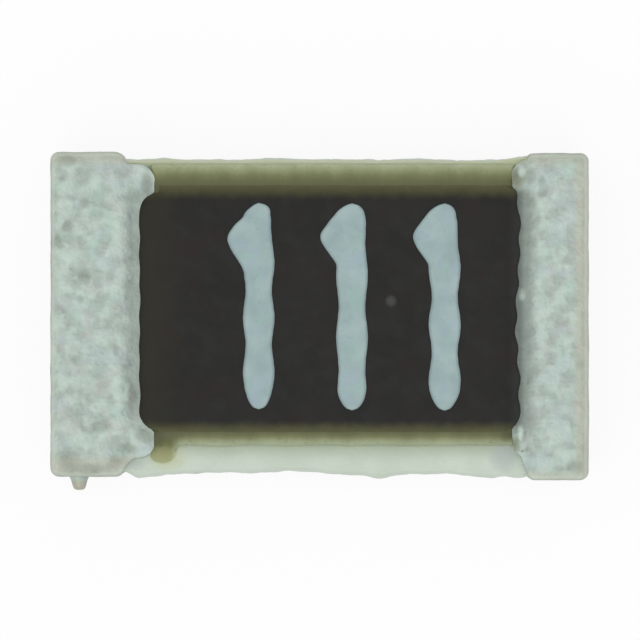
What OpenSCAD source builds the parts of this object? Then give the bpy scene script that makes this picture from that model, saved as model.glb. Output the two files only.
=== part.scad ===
// Thick-film chip resistor, 2.0 x 1.25 mm size, with wrap-round end terminals and a printed value code.
// Millimetres. +X runs along the length, +Y towards the back edge, +Z up. The origin is at the middle
// of the underside, on the plane of the solder pads.

/* [Alumina body] */
// Length of the alumina body
body_l = 1.998; // [1.85:0.001:2.2]
// Width of the alumina body
body_w = 1.19; // [1.1:0.01:1.3]
// Thickness of the alumina body
body_t = 0.46; // [0.3:0.01:0.6]
// Height of the bevel that the scribe line leaves along each snapped edge
scribe_h = 0.05; // [0.02:0.005:0.1]
// Inset of that bevel
scribe_in = 0.012; // [0.004:0.001:0.015]

/* [Electrodes] */
// Thickness of the printed electrodes under the body
pad_t = 0.01; // [0.005:0.001:0.02]
// Length of the electrodes under the body, from the end of the flat underside
pad_l = 0.34; // [0.28:0.01:0.5]
// Distance from the body's sides to the electrodes under it
pad_margin = 0.06; // [0.03:0.01:0.2]
// Thickness of the printed electrodes on top
electrode_t = 0.012; // [0.006:0.001:0.02]
// Mean length of the top electrodes' wide parts, from the end of the flat top
electrode_l = 0.2965; // [0.28:0.0005:0.33]
// Distance from the body's front to the wide parts
electrode_front_margin = 0.07; // [0.03:0.005:0.09]
// Distance from the body's back to the wide parts
electrode_back_margin = 0.03; // [0.03:0.005:0.05]
// Corner radius of the wide parts
electrode_r = 0.045; // [0.02:0.005:0.06]
// Length of the tongues that carry the film, past the wide parts
tongue_l = 0.1425; // [0.12:0.0025:0.25]
// Distance from the body's sides to the tongues
tongue_margin = 0.17; // [0.15:0.01:0.2]
// Registration error of the electrode print along the body
electrode_shift = 0.049; // [-0.06:0.001:0.06]

/* [Resistive film] */
// Thickness of the resistive film
film_t = 0.012; // [0.006:0.001:0.02]
// Distance from the tongues' sides to the film
film_margin = 0.06; // [0.02:0.01:0.1]
// Length by which the film laps onto each tongue
film_lap = 0.06; // [0.03:0.005:0.08]
// Width of the laser trim cut
kerf_w = 0.035; // [0.02:0.005:0.06]
// Depth of the trim cut across the film
kerf_in = 0.3; // [0.1:0.01:0.4]
// Length of the trim cut's leg along the film
kerf_leg = 0.26; // [0.1:0.01:0.4]
// Place of the trim cut along the film
kerf_x = -0.16; // [-0.3:0.01:0.1]

/* [Glass coat] */
// Thickness of the glass over the film's laps
glass_t = 0.01; // [0.005:0.001:0.02]
// Distance from the scribe bevel to the glass coat's front edge
glass_front_margin = 0.093; // [0.07:0.001:0.12]
// Distance from the scribe bevel to the glass coat's back edge
glass_back_margin = 0.004; // [0.002:0.001:0.03]
// Length of the glass coat's rounded edges
glass_run = 0.06; // [0.03:0.005:0.08]
// Thickness of the glass at the lip of those edges
glass_lip = 0.004; // [0.002:0.001:0.006]
// Width of the lobe where the glass ran out beside the left electrode
lobe_w = 0.09; // [0.04:0.005:0.1]
// Distance from the scribe bevel to the lobe's end
lobe_margin = 0.028; // [0.02:0.002:0.05]

/* [Overcoat] */
// Thickness of the black overcoat above the glass
overcoat_t = 0.018; // [0.008:0.001:0.03]
// Mean distance from the end of the flat top to the overcoat
overcoat_end_margin = 0.262; // [0.245:0.001:0.285]
// Distance from the scribe bevel to the overcoat's front edge
overcoat_front_margin = 0.143; // [0.135:0.001:0.2]
// Distance from the scribe bevel to the overcoat's back edge
overcoat_back_margin = 0.084; // [0.06:0.001:0.2]
// Registration error of the overcoat print along the body
overcoat_shift = 0.034; // [0.02:0.001:0.05]
// Length of the overcoat's rounded shoulders
shoulder_run = 0.07; // [0.03:0.005:0.1]
// Thickness of the overcoat at the lip of its shoulders
shoulder_lip = 0.004; // [0.002:0.001:0.007]
// Corner radius of the overcoat
overcoat_r = 0.05; // [0.02:0.005:0.08]
// Pitch of the scallops that the screen's mesh leaves along the overcoat's ends
scallop_pitch = 0.118; // [0.08:0.002:0.2]
// Depth of those scallops
scallop_depth = 0.0075; // [0.002:0.0005:0.01]

/* [Value marking] */
// Thickness of the printed ink
ink_t = 0.006; // [0.003:0.001:0.012]
// How many digits the marking has
digits = 3; // [1:1:3]
// Height of a digit
digit_h = 0.785; // [0.5:0.005:0.8]
// Distance from one digit to the next
digit_pitch = 0.353; // [0.25:0.001:0.36]
// Width of a digit's stem
stem_w = 0.118; // [0.08:0.002:0.14]
// Depth of the ripple that the screen's mesh leaves along the stem's edges
ripple = 0.01; // [0:0.001:0.015]
// Pitch of that ripple
ripple_pitch = 0.207; // [0.1:0.001:0.4]
// Height of the lowest crest of that ripple above the digit's foot
ripple_start = 0.144; // [0:0.002:0.2]
// Reach of the flag past the stem
flag_out = 0.058; // [0.04:0.002:0.1]
// Distance from the top of a digit down to the flag's tip
flag_drop = 0.128; // [0.1:0.002:0.15]
// Height above the tip at which the flag's curved upper edge is back over the stem's edge
flag_rise = 0.106; // [0.08:0.002:0.125]
// Depth below the tip at which the flag's curved lower edge is back at the stem's edge
flag_fall = 0.08; // [0.06:0.005:0.12]
// Middle of the marking along the body
marking_x = 0.1204; // [-0.1:0.0002:0.13]
// Middle of the marking across the body
marking_y = 0.038; // [-0.05:0.002:0.05]

/* [Terminals] */
// Thickness of the dipped end coat
end_coat_t = 0.012; // [0.01:0.001:0.02]
// Length of the left end coat's wrap round the body
left_wrap = 0.25; // [0.15:0.005:0.27]
// Length of the right end coat's wrap round the body
right_wrap = 0.2; // [0.15:0.005:0.22]
// Distance by which the left end coat lies towards the back, thicker there than at the front
left_coat_shift = 0.008; // [-0.008:0.001:0.008]
// Edge radius of the end coat
end_coat_r = 0.02; // [0.014:0.001:0.03]
// Thickness of the nickel barrier
nickel_t = 0.006; // [0.003:0.001:0.012]
// Thickness of the tin plating
tin_t = 0.008; // [0.004:0.001:0.015]
// Distance from the left end of the body to the nodule on the tin
nodule_x = 0.08; // [0.06:0.005:0.18]
// Height of the nodule above the pads
nodule_z = 0.24; // [0.1:0.01:0.4]
// Radius of the nodule's root
nodule_r = 0.036; // [0.015:0.001:0.05]
// Length of the nodule
nodule_l = 0.05; // [0.02:0.002:0.08]

/* [Hidden] */

left = -1;
right = 1;
arc_step = 15;
points_per_wave = 8;
points_per_digit = 48;
nodule_sides = 12;
$fn = 48;

plating_t = nickel_t + tin_t;
z_pad = plating_t + end_coat_t;
z_body = z_pad + pad_t;
z_top = z_body + body_t;
z_electrode = z_top + electrode_t;
z_film = z_electrode + film_t;
z_glass = z_film + glass_t;
z_overcoat = z_glass + overcoat_t;

flat_l = body_l - 2 * scribe_in;
flat_w = body_w - 2 * scribe_in;
pad_w = body_w - 2 * pad_margin;
electrode_front = body_w / 2 - electrode_front_margin;
electrode_back = body_w / 2 - electrode_back_margin;
tongue_w = body_w - 2 * tongue_margin;
film_w = tongue_w - 2 * film_margin;
electrode_gap = flat_l / 2 - electrode_l;
tongue_gap = electrode_gap - tongue_l;
glass_front = flat_w / 2 - glass_front_margin;
glass_back = flat_w / 2 - glass_back_margin;
overcoat_x = flat_l / 2 - overcoat_end_margin;
overcoat_front = flat_w / 2 - overcoat_front_margin;
overcoat_back = flat_w / 2 - overcoat_back_margin;

// Box between two corners, given as a range on each axis
module slab(x, y, z) {
    translate([min(x), min(y), min(z)])
        cube([max(x) - min(x), max(y) - min(y), max(z) - min(z)]);
}

// Outline in X and Z, drawn out across the body between two values of Y
module along_y(y) {
    translate([0, max(y), 0]) rotate([90, 0, 0]) linear_extrude(max(y) - min(y)) children();
}

// Outline in Y and Z, drawn out along the body between two values of X
module along_x(x) {
    translate([min(x), 0, 0]) rotate([90, 0, 90]) linear_extrude(max(x) - min(x)) children();
}

// Rectangle between two corners with its corners rounded to r
module rounded_rectangle(u, v, r) {
    polygon([
        for (corner = [[1, 1, 0], [0, 1, 90], [0, 0, 180], [1, 0, 270]], a = [0:arc_step:90])
            [
                (corner[0] ? max(u) - r : min(u) + r) + r * cos(corner[2] + a),
                (corner[1] ? max(v) - r : min(v) + r) + r * sin(corner[2] + a)
            ]
    ]);
}

// Block between two corners with every edge rounded to r
module rounded_block(x, y, z, r) {
    intersection() {
        translate([0, 0, min(z)]) linear_extrude(max(z) - min(z)) rounded_rectangle(x, y, r);
        along_y(y) rounded_rectangle(x, z, r);
        along_x(x) rounded_rectangle(y, z, r);
    }
}

// Profile of a printed layer: flat on top at z_flat, with a rounded shoulder down to a lip at each end
module layer_profile(u, z_base, z_lip, z_flat, run) {
    polygon(concat(
        [[max(u), z_base]],
        [for (a = [0:arc_step:90]) [max(u) - run * (1 - cos(a)), z_lip + (z_flat - z_lip) * sin(a)]],
        [for (a = [90:-arc_step:0]) [min(u) + run * (1 - cos(a)), z_lip + (z_flat - z_lip) * sin(a)]],
        [[min(u), z_base]]
    ));
}

// Outline of the body's section, bevelled along its edges where the plate was scribed and snapped
module scribed_outline(w) {
    edges = [[scribe_in, 0], [0, scribe_h], [0, body_t - scribe_h], [scribe_in, body_t]];
    polygon([
        for (side = [1, -1], edge = edges)
            [side * (w / 2 - edge[0]), z_body + (side > 0 ? edge[1] : body_t - edge[1])]
    ]);
}

module alumina_body() {
    color("gainsboro")
        intersection() {
            along_x([-body_l / 2, body_l / 2]) scribed_outline(body_w);
            along_y([-body_w / 2, body_w / 2]) scribed_outline(body_l);
        }
}

module bottom_electrode(side) {
    color("silver")
        slab(side * [flat_l / 2, flat_l / 2 - pad_l], [-pad_w / 2, pad_w / 2], [z_pad, z_body]);
}

// Inner edge of a top electrode's wide part, and of its tongue
function wide_edge(side) = side * electrode_gap + electrode_shift;
function tongue_edge(side) = side * tongue_gap + electrode_shift;

// Rounded inner corner of a wide part, at the back (way 1) or the front (way -1), grown by a coating
function inner_corner(side, way, grow) =
    let (
        r = electrode_r + grow,
        x = wide_edge(side) + side * electrode_r,
        y = way > 0 ? electrode_back - electrode_r : electrode_r - electrode_front
    )
    [for (a = way > 0 ? [0:arc_step:90] : [90:-arc_step:0]) [x - side * r * sin(a), y + way * r * cos(a)]];

// Outline of a wide part grown by a coating, with any points of a tongue past its inner edge
module electrode_outline(side, grow, tongue = []) {
    end = side * flat_l / 2;
    polygon(concat(
        [[end, -electrode_front - grow], [end, electrode_back + grow]],
        inner_corner(side, 1, grow),
        tongue,
        inner_corner(side, -1, grow)
    ));
}

module top_electrode(side) {
    tongue = [
        [wide_edge(side), tongue_w / 2], [tongue_edge(side), tongue_w / 2],
        [tongue_edge(side), -tongue_w / 2], [wide_edge(side), -tongue_w / 2]
    ];
    color("silver")
        translate([0, 0, z_top]) linear_extrude(electrode_t) electrode_outline(side, 0, tongue);
}

// Path of the laser trim: a plunge in from the film's front edge, then a leg along the film
module trim_kerf() {
    x = kerf_x + electrode_shift;
    y_end = -film_w / 2 + kerf_in;
    translate([0, 0, z_top]) linear_extrude(z_overcoat - z_top)
        union() {
            translate([x - kerf_w / 2, -film_w / 2 - kerf_w]) square([kerf_w, kerf_in + kerf_w]);
            translate([x - kerf_w / 2, y_end - kerf_w]) square([kerf_leg + kerf_w / 2, kerf_w]);
            translate([x + kerf_leg, y_end - kerf_w / 2]) circle(kerf_w / 2);
        }
}

// The film lies on the alumina and steps up over the end of each tongue
module resistive_film() {
    end = tongue_gap + film_lap;
    step = tongue_gap - film_t;
    color("dimgray")
        difference() {
            translate([electrode_shift, 0, 0]) along_y([-film_w / 2, film_w / 2])
                polygon([
                    [-end, z_electrode], [-tongue_gap, z_electrode], [-tongue_gap, z_top],
                    [tongue_gap, z_top], [tongue_gap, z_electrode], [end, z_electrode],
                    [end, z_film], [step, z_film], [step, z_top + film_t],
                    [-step, z_top + film_t], [-step, z_film], [-end, z_film]
                ]);
            trim_kerf();
        }
}

// Tongue of glass that ran out to the front along the left electrode
module glass_lobe() {
    r = lobe_w / 2;
    x = wide_edge(left) + r;
    y = -flat_w / 2 + lobe_margin + r;
    slab([x - r, x + r], [y, -glass_front + glass_run], [z_top, z_top + glass_lip]);
    translate([x, y, z_top]) cylinder(h = glass_lip, r = r);
}

module glass_coat() {
    x = [wide_edge(left), wide_edge(right)];
    y = [-glass_front, glass_back];
    color("darkolivegreen")
        difference() {
            union() {
                intersection() {
                    along_x(x) layer_profile(y, z_top, z_top + glass_lip, z_glass, glass_run);
                    along_y(y) layer_profile(x, z_top, z_electrode, z_glass, glass_run);
                }
                glass_lobe();
            }
            top_electrode(left);
            top_electrode(right);
            resistive_film();
            trim_kerf();
        }
}

// Half length of the overcoat at y: scalloped by the screen's mesh, and drawn in at the rounded corners
function overcoat_end(y) =
    let (
        middle = (overcoat_back - overcoat_front) / 2,
        straight = (overcoat_back + overcoat_front) / 2 - overcoat_r,
        past = min(overcoat_r, max(0, abs(y - middle) - straight)),
        scallop = scallop_depth * (1 - cos(360 * y / scallop_pitch)) / 2
    )
    overcoat_x - scallop - overcoat_r + sqrt(overcoat_r ^ 2 - past ^ 2);

module overcoat_outline() {
    steps = ceil((overcoat_front + overcoat_back) / scallop_pitch * points_per_wave);
    y_at = [for (i = [0:steps]) -overcoat_front + (overcoat_front + overcoat_back) * i / steps];
    translate([overcoat_shift, 0])
        polygon(concat(
            [for (i = [0:steps]) [overcoat_end(y_at[i]), y_at[i]]],
            [for (i = [steps:-1:0]) [-overcoat_end(y_at[i]), y_at[i]]]
        ));
}

// The overcoat as one block down to the alumina, before the layers under it are taken out
module overcoat_block() {
    x = [overcoat_shift - overcoat_x, overcoat_shift + overcoat_x];
    y = [-overcoat_front, overcoat_back];
    intersection() {
        translate([0, 0, z_top]) linear_extrude(z_overcoat - z_top) overcoat_outline();
        along_x(x) layer_profile(y, z_top, z_glass + shoulder_lip, z_overcoat, shoulder_run);
        along_y(y) layer_profile(x, z_top, z_electrode + plating_t, z_overcoat, shoulder_run);
    }
}

// The overcoat also fills the trim kerf, down to the alumina
module overcoat() {
    color("#323230")
        difference() {
            overcoat_block();
            glass_coat();
            resistive_film();
            top_electrode(left);
            top_electrode(right);
        }
}

// Half width of a digit's stem at a height above the digit's foot
function stem_edge(h) =
    let (
        r = stem_w / 2,
        past = min(r, max(0, abs(h - digit_h / 2) - (digit_h / 2 - r)))
    )
    (r - ripple * (1 - cos(360 * (h - ripple_start) / ripple_pitch)) / 2) * sqrt(1 - (past / r) ^ 2);

// Reach of a digit on the left at that height: the stem, then out to the flag's tip and back to the top
function flag_edge(h) =
    let (
        above = h - (digit_h - flag_drop),
        flag = stem_w / 2 + flag_out * (1 - (above / (above > 0 ? flag_rise : flag_fall)) ^ 2)
    )
    above > 0 ? flag : max(flag, stem_edge(h));

// A plain figure one, its foot at the origin
module digit_one() {
    steps = points_per_digit;
    polygon(concat(
        [for (i = [0:steps]) [stem_edge(digit_h * i / steps), digit_h * i / steps]],
        [for (i = [steps:-1:1]) [-flag_edge(digit_h * i / steps), digit_h * i / steps]]
    ));
}

// The ink follows the overcoat's surface
module value_marking() {
    first_x = marking_x - (digits - 1) / 2 * digit_pitch;
    color("#9db1b2")
        difference() {
            intersection() {
                translate([0, 0, z_glass]) linear_extrude(overcoat_t + 2 * ink_t)
                    for (i = [0:digits - 1])
                        translate([first_x + i * digit_pitch, marking_y - digit_h / 2]) digit_one();
                translate([0, 0, ink_t]) overcoat_block();
            }
            overcoat_block();
        }
}

// How far towards the back an end coat lies
function coat_y(side) = side == left ? left_coat_shift : 0;

// Terminal metal as far out as a coating of thickness grow on the printed electrodes and the alumina
module end_block(side, wrap, grow) {
    past = grow - end_coat_t;
    rounded_block(
        side * [body_l / 2 + grow, body_l / 2 - wrap - past],
        [coat_y(side) - body_w / 2 - grow, coat_y(side) + body_w / 2 + grow],
        [z_pad - grow, z_electrode + grow],
        end_coat_r + past
    );
}

// Plating of thickness grow on what the end coat leaves bare of the electrodes, above and below
module electrode_plating(side, grow) {
    translate([0, 0, z_top]) linear_extrude(electrode_t + grow) electrode_outline(side, grow);
    slab(
        side * [flat_l / 2, flat_l / 2 - pad_l - grow],
        [-pad_w / 2 - grow, pad_w / 2 + grow],
        [z_pad - grow, z_body]
    );
}

module end_coat(side, wrap) {
    color("darkgray")
        difference() {
            end_block(side, wrap, end_coat_t);
            alumina_body();
            top_electrode(side);
            bottom_electrode(side);
            glass_coat();
            overcoat_block();
        }
}

module nickel_barrier(side, wrap) {
    color("#a8a49a")
        difference() {
            union() {
                end_block(side, wrap, end_coat_t + nickel_t);
                electrode_plating(side, nickel_t);
            }
            end_block(side, wrap, end_coat_t);
            alumina_body();
            top_electrode(side);
            bottom_electrode(side);
            glass_coat();
            overcoat_block();
        }
}

module tin_plating(side, wrap) {
    color("#b2c1b7")
        difference() {
            union() {
                end_block(side, wrap, end_coat_t + plating_t);
                electrode_plating(side, plating_t);
            }
            end_block(side, wrap, end_coat_t + nickel_t);
            electrode_plating(side, nickel_t);
            alumina_body();
            top_electrode(side);
            bottom_electrode(side);
            glass_coat();
            overcoat_block();
        }
}

// A grain of tin that grew out of the plating's front face
module tin_nodule() {
    tip = nodule_r / 2;
    y = coat_y(left) - body_w / 2 - end_coat_t - nickel_t;
    translate([-body_l / 2 + nodule_x, y, nodule_z]) rotate([90, 0, 0])
        rotate_extrude($fn = nodule_sides)
            polygon(concat(
                [[0, 0], [nodule_r, 0], [nodule_r, tin_t]],
                [for (a = [0:arc_step:90]) [tip * cos(a), tin_t + nodule_l - tip * (1 - sin(a))]]
            ));
}

module left_tin_plating() {
    color("#b2c1b7")
        union() {
            tin_plating(left, left_wrap);
            tin_nodule();
        }
}

alumina_body();
bottom_electrode(left);  // left_bottom_electrode
bottom_electrode(right);  // right_bottom_electrode
top_electrode(left);  // left_top_electrode
top_electrode(right);  // right_top_electrode
resistive_film();
glass_coat();
overcoat();
value_marking();
end_coat(left, left_wrap);  // left_end_coat
end_coat(right, right_wrap);  // right_end_coat
nickel_barrier(left, left_wrap);  // left_nickel_barrier
nickel_barrier(right, right_wrap);  // right_nickel_barrier
left_tin_plating();
tin_plating(right, right_wrap);  // right_tin_plating
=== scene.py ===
import math

import bmesh
import bpy
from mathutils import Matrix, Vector, noise


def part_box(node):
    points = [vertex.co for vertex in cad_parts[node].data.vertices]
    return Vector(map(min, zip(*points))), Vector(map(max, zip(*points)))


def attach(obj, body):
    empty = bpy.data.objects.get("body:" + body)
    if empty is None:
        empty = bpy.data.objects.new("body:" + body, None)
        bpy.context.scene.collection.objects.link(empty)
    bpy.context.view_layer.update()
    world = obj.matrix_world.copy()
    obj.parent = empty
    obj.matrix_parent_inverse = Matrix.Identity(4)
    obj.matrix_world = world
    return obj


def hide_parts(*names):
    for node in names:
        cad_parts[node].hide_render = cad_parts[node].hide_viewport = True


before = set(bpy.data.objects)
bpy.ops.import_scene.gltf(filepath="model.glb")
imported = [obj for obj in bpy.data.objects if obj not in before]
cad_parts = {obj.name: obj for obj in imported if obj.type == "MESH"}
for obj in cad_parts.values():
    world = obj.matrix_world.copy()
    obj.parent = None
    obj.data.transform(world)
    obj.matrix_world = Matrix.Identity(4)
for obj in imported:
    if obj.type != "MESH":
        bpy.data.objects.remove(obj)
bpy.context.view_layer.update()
print("frame loaded,", len(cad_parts), "nodes")

mm = 0.001  # meshes are shaped in millimetres and scaled down at the end


# sizes that the dressed pieces share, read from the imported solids
def boxMm(node):
    low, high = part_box(node)
    return low / mm, high / mm


bodyLow, bodyHigh = boxMm("alumina_body")
glassLow, glassHigh = boxMm("glass_coat")
coatLow, coatHigh = boxMm("overcoat")
filmLow, filmHigh = boxMm("resistive_film")
electrodeBox = {-1: boxMm("left_top_electrode"), 1: boxMm("right_top_electrode")}  # left is -1, right is 1
padBox = {-1: boxMm("left_bottom_electrode"), 1: boxMm("right_bottom_electrode")}
zTop = bodyHigh.z  # top of the alumina
zElectrode = electrodeBox[-1][1].z
zFilm = filmHigh.z
zGlass = glassHigh.z
zCoat = coatHigh.z
tongueEdge = {-1: electrodeBox[-1][1].x, 1: electrodeBox[1][0].x}
platingT = boxMm("left_tin_plating")[1].z - boxMm("left_end_coat")[1].z
shelfZ = zElectrode + platingT  # top of the plating beside the overcoat
capEdge = {-1: boxMm("left_end_coat")[1].x + platingT, 1: boxMm("right_end_coat")[0].x - platingT}


# small helpers for shapes
def clamp(value, low=0.0, high=1.0):
    return max(low, min(high, value))


def blend(a, b, share):
    return a + (b - a) * share


def smoothStep(value, low, high):
    t = clamp((value - low) / (high - low))
    return t * t * (3 - 2 * t)


def softMin(a, b, k):
    return -k * math.log(math.exp(-a / k) + math.exp(-b / k))


def quarterArc(share):
    return math.sqrt(1 - (1 - clamp(share)) ** 2)


def bell(*offsets):  # 1 in the middle, next to nothing from two half widths out
    return math.exp(-sum(offset * offset for offset in offsets))


def ripple(point, size, seed):  # smooth noise of about -1 to 1, with features of that size
    return noise.noise(Vector(point) / size + Vector((seed, seed * 1.7, seed * 0.3)))


def boxGrid(low, high, pitch):  # closed box cut into cells of about that pitch
    bm = bmesh.new()
    bmesh.ops.create_cube(bm, size=1.0)
    bmesh.ops.scale(bm, vec=high - low, verts=bm.verts)
    bmesh.ops.translate(bm, vec=(low + high) / 2, verts=bm.verts)
    for axis in range(3):
        cuts = max(1, round((high - low)[axis] / pitch[axis])) - 1
        along = [e for e in bm.edges if abs((e.verts[0].co - e.verts[1].co).normalized()[axis]) > 0.99]
        bmesh.ops.subdivide_edges(bm, edges=along, cuts=cuts, use_grid_fill=True)
    return bm


def vertsOf(geom):
    return [g for g in geom if isinstance(g, bmesh.types.BMVert)]


def sheetGrid(across, along):  # grid from 0 to 1 both ways and its copy above it, closed round the edge
    bm = bmesh.new()
    bmesh.ops.create_grid(bm, x_segments=across, y_segments=along, size=0.5)
    bmesh.ops.translate(bm, vec=(0.5, 0.5, 0), verts=bm.verts)
    grown = bmesh.ops.extrude_face_region(bm, geom=bm.faces[:], use_keep_orig=True)
    bmesh.ops.translate(bm, vec=(0, 0, 1), verts=vertsOf(grown["geom"]))
    return bm


def finishPiece(name, bm, finish, node, sharp=50):
    bmesh.ops.recalc_face_normals(bm, faces=bm.faces)
    bmesh.ops.scale(bm, vec=(mm, mm, mm), verts=bm.verts)
    mesh = bpy.data.meshes.new(name)
    bm.to_mesh(mesh)
    bm.free()
    mesh.shade_smooth()
    mesh.set_sharp_from_angle(angle=math.radians(sharp))
    mesh.materials.append(finish)
    piece = bpy.data.objects.new(name, mesh)
    bpy.context.scene.collection.objects.link(piece)
    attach(piece, "root")
    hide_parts(node)
    print(name, len(mesh.polygons), "faces")


# shader sums: a wrapped socket takes part in Python expressions
class Shade:
    def __init__(self, tree, socket):
        self.tree, self.socket = tree, socket

    def node(self, kind, settings=None, sockets=None, out=0):
        return addNode(self.tree, kind, settings, sockets, out)

    def sum(self, operation, a, b):
        return self.node("ShaderNodeMath", {"operation": operation}, {0: a, 1: b})

    def __add__(self, other):
        return self.sum("ADD", self, other)

    def __radd__(self, other):
        return self.sum("ADD", other, self)

    def __sub__(self, other):
        return self.sum("SUBTRACT", self, other)

    def __rsub__(self, other):
        return self.sum("SUBTRACT", other, self)

    def __mul__(self, other):
        return self.sum("MULTIPLY", self, other)

    def __rmul__(self, other):
        return self.sum("MULTIPLY", other, self)

    def __abs__(self):
        return self.sum("ABSOLUTE", self, 0.0)

    def ramp(self, low, high):  # 0 at low to 1 at high, smooth at both ends
        return self.node("ShaderNodeMapRange", {"interpolation_type": "SMOOTHSTEP"},
                         {"Value": self, "From Min": low, "From Max": high})


def addNode(tree, kind, settings=None, sockets=None, out=0):
    made = tree.nodes.new(kind)
    for key, value in (settings or {}).items():
        if key == "stops":  # colour ramp, as pairs of place and colour
            stops = made.color_ramp.elements
            while len(stops) < len(value):
                stops.new(1.0)
            for stop, (place, colour) in zip(stops, value):
                stop.position, stop.color = place, (*colour, 1.0)
        else:
            setattr(made, key, value)
    for key, value in (sockets or {}).items():
        if isinstance(value, Shade):
            tree.links.new(value.socket, made.inputs[key])
        else:
            made.inputs[key].default_value = value
    return Shade(tree, made.outputs[out] if made.outputs else None)


class Finish:  # one material, with the patterns that its colours and bumps are mixed from
    def __init__(self, name):
        self.material = bpy.data.materials.new(name)
        self.material.use_nodes = True
        self.tree = self.material.node_tree
        self.shader = self.tree.nodes["Principled BSDF"]
        metres = addNode(self.tree, "ShaderNodeTexCoord", out=3)
        self.place = metres.node("ShaderNodeMapping", {}, {"Vector": metres, "Scale": (1 / mm,) * 3})
        self.x, self.y, self.z = (metres.node("ShaderNodeSeparateXYZ", {}, {0: self.place}, axis)
                                  for axis in range(3))

    def noise(self, scale, detail=2.0, rough=0.5, stretch=None):
        at = self.place
        if stretch:
            at = at.node("ShaderNodeMapping", {}, {"Vector": at, "Scale": stretch})
        return at.node("ShaderNodeTexNoise", {},
                       {"Vector": at, "Scale": scale, "Detail": detail, "Roughness": rough})

    def onPoints(self, name):  # a value that the mesh keeps on its points
        return self.place.node("ShaderNodeAttribute", {"attribute_name": name}, {}, 2)

    def spot(self, x, y, wide, long):  # 1 in the middle of a soft oval seen from above, 0 outside it
        across, along = (self.x - x) * (1 / wide), (self.y - y) * (1 / long)
        return 1 - (across * across + along * along).ramp(-0.2, 1.0)

    def mix(self, share, a, b):
        a, b = ((*c, 1.0) if isinstance(c, tuple) else c for c in (a, b))
        return self.place.node("ShaderNodeMix", {"data_type": "RGBA"}, {0: share, 6: a, 7: b}, 2)

    def clouds(self, colour, settings):  # rows of noise scale, detail and stretch, ramp, share and shade
        for scale, detail, stretch, low, high, share, shade in settings["clouds"]:
            cloud = self.noise(scale, detail, stretch=stretch)
            colour = self.mix(cloud.ramp(low, high) * share, colour, settings[shade])
        return colour

    def stainsAndPaintedLight(self, colour, settings, where=1):  # rows of x, y, half width, half length, share and shade: real stains, painted shade and painted highlights
        for x, y, wide, long, share, shade in settings["stainsAndPaintedLight"]:
            colour = self.mix(self.spot(x, y, wide, long) * (where * share), colour, settings[shade])
        return colour

    def bump(self, height, depth, under=None):
        sockets = {"Height": height, "Distance": depth * mm, "Strength": 1.0}
        if under:
            sockets["Normal"] = under
        return self.place.node("ShaderNodeBump", {}, sockets)

    def set(self, **sockets):
        for key, value in sockets.items():
            socket = self.shader.inputs[key.replace("_", " ")]
            if isinstance(value, Shade):
                self.tree.links.new(value.socket, socket)
            else:
                socket.default_value = value
        return self.material


# alumina block: snapped out of its plate, so its sides are rough and its front edge wanders
alumina = {
    "pitch": (0.014, 0.016, 0.014),
    "scribeIn": 0.012,
    "scribeHigh": 0.05,
    "sideFrom": 0.86,  # share of the half width from which a point belongs to the front or back side
    "sideOut": {-1: 0.0025, 1: 0.0},  # front and back, as in the swells: place, height and half width along x
    "swells": {-1: ((-0.40, -0.003, 0.11), (-0.11, -0.011, 0.13), (0.23, 0.0155, 0.06), (0.41, 0.002, 0.06),
                    (0.63, 0.014, 0.10), (-0.66, 0.010, 0.08), (-0.687, 0.009, 0.03), (0.765, 0.012, 0.035),
                    (-0.744, -0.015, 0.026), (0.08, 0.004, 0.05)),
               1: ((0.80, 0.017, 0.09), (-0.10, 0.002, 0.2), (-0.575, 0.005, 0.06), (-0.189, 0.004, 0.05),
                   (0.40, 0.003, 0.06))},
    "wander": 0.003,
    "wanderSize": 0.17,
    "fracture": 0.0065,
    "fractureSize": 0.05,
    "fractureLong": 0.6,
    "fractureFrom": 0.08,  # full this far below the top and above the bottom
    "capSlip": 0.03,  # the block is true again this far under the end caps
    "sharp": 35,
    "grain": (55, 3.0, 0.6),  # noise scale, detail, roughness and stretch
    "cloud": (9, 2.0),
    "hackle": (24, 3.0, 0.62, (1.0, 1.0, 0.5)),  # broken grain, drawn out in the way the plate was snapped
    "pits": (48, 2.0),
    "fine": (120, 3.0, 0.65),
    "grainDeep": 0.003,
    "hackleDeep": 0.012,
    "fineDeep": 0.0022,
    "rough": (0.62, 0.2),
    "gloss": 0.35,
    "topSkin": (0.002, 0.0005),  # depths below the top
    "rimDeep": (0.06, 0.02),
    "snappedTo": (0.075, 0.045),
    "snappedFrom": (0.02, 0.06),  # heights above the bottom
    "shadedTo": (0.475, 0.58),  # the top turns from shaded to pale between these, towards the front
    "backRim": (0.565, 0.585),
    "pale": (0.585, 0.665, 0.572),
    "milky": (0.55, 0.625, 0.535),
    "shaded": (0.37, 0.43, 0.32),
    "speckled": (0.40, 0.44, 0.38),
    "grey": (0.40, 0.45, 0.44),
    "tinted": (0.52, 0.55, 0.36),
    "broken": (0.42, 0.47, 0.385),
    "pitted": (0.30, 0.33, 0.27),
    # the grey rows are painted shade on the alumina beside the caps' front ears; the tinted row is a tone of
    # the alumina
    "stainsAndPaintedLight": ((0.700, -0.530, 0.07, 0.08, 0.75, "grey"), (-0.70, -0.56, 0.05, 0.03, 0.5, "grey"),
               (-0.575, -0.540, 0.085, 0.060, 0.8, "tinted")),
}


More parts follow.
